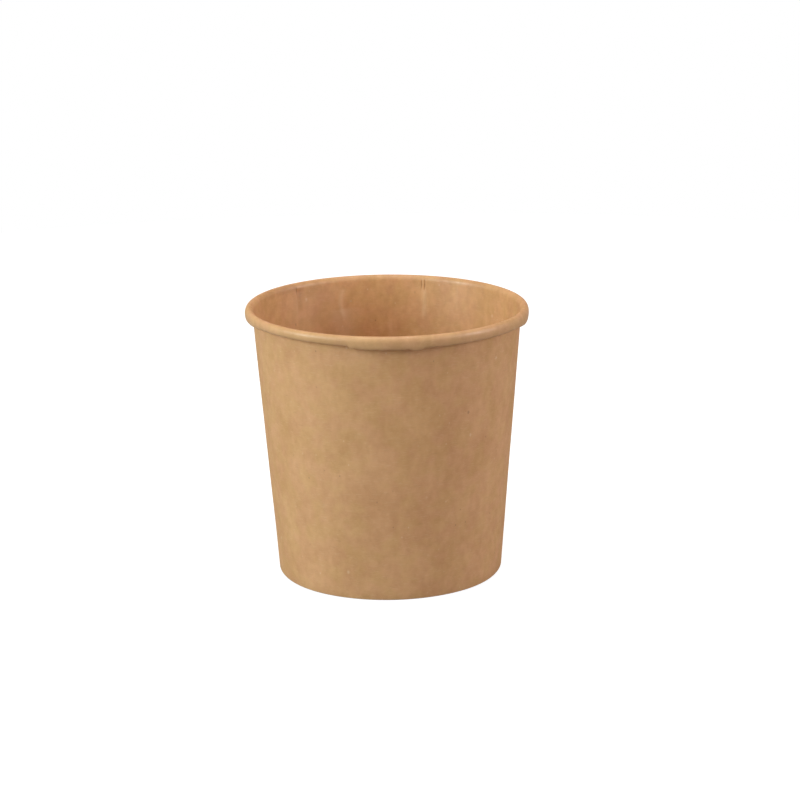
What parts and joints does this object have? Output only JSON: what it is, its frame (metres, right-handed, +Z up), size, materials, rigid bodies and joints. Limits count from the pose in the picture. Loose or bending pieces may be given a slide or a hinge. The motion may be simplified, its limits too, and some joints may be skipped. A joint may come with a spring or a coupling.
{
  "type": "paper ice cream tub",
  "caption": "Open kraft board tub: conical lapped side wall with rolled-out rim and folded foot, and a recessed base disc glued into the fold.",
  "frame": {"origin": "centre of the ring that the tub stands on", "axes": "+Z up along the tub's axis; -Y is the side that faces the viewer, +X to the viewer's right"},
  "size_m": [0.09, 0.09, 0.0864],
  "materials": {
    "wall_board": "uncoated brown kraft board, inside film coated",
    "base_board": "brown kraft board, film coated on top"
  },
  "bodies": {
    "root": {"tub_wall": "wall_board", "base_disc": "base_board"}
  },
  "joints": []
}
